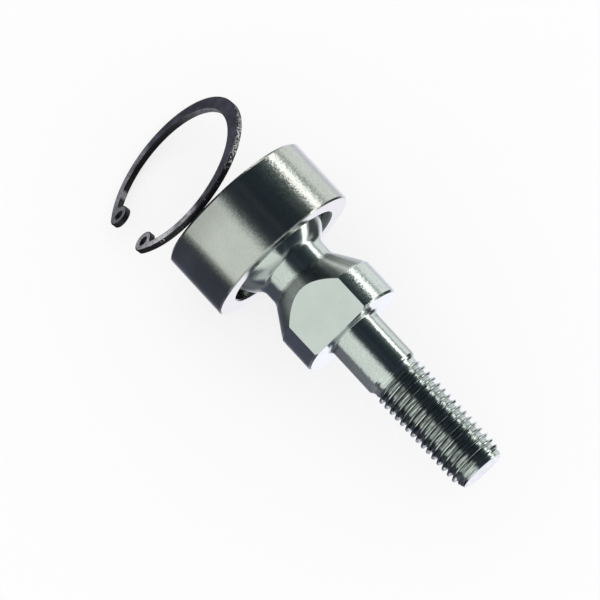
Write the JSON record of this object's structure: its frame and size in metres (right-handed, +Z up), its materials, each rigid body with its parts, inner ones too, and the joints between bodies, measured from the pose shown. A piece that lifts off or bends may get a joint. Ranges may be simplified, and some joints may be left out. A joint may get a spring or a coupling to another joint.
{
  "type": "suspension ball joint",
  "caption": "Ball stud with a coned collar, wrench flats and a threaded end, turning and tilting in a round press-in race, with the retaining ring that locks the race in its bore.",
  "frame": {"origin": "centre of the ball, at mid-width of the outer race", "axes": "+X along the stud towards its thread, +Z up as the joint lies on a table"},
  "size_m": [0.1002, 0.0393, 0.035],
  "materials": {
    "race_steel": "finely turned and bright plated",
    "stud_steel": "turned and bright plated",
    "bearing_plastic": "moulded, matt black",
    "ring_phosphate": "blackened spring steel, worn at the edges"
  },
  "bodies": {
    "housing": {"outer_race": "race_steel", "retaining_ring": "ring_phosphate"},
    "bearing": {"front_bearing_half": "bearing_plastic", "rear_bearing_half": "bearing_plastic"},
    "stud": {"ball_stud": "stud_steel"}
  },
  "joints": [
    {"name": "stud_swivel", "type": "hinge", "parent": "housing", "child": "bearing", "pos_m": [0, 0, 0], "axis": [1, 0, 0], "continuous": true},
    {"name": "stud_tilt", "type": "hinge", "parent": "bearing", "child": "stud", "pos_m": [0, 0, 0], "axis": [0, 0, 1], "range_deg": [-25, 25]}
  ]
}
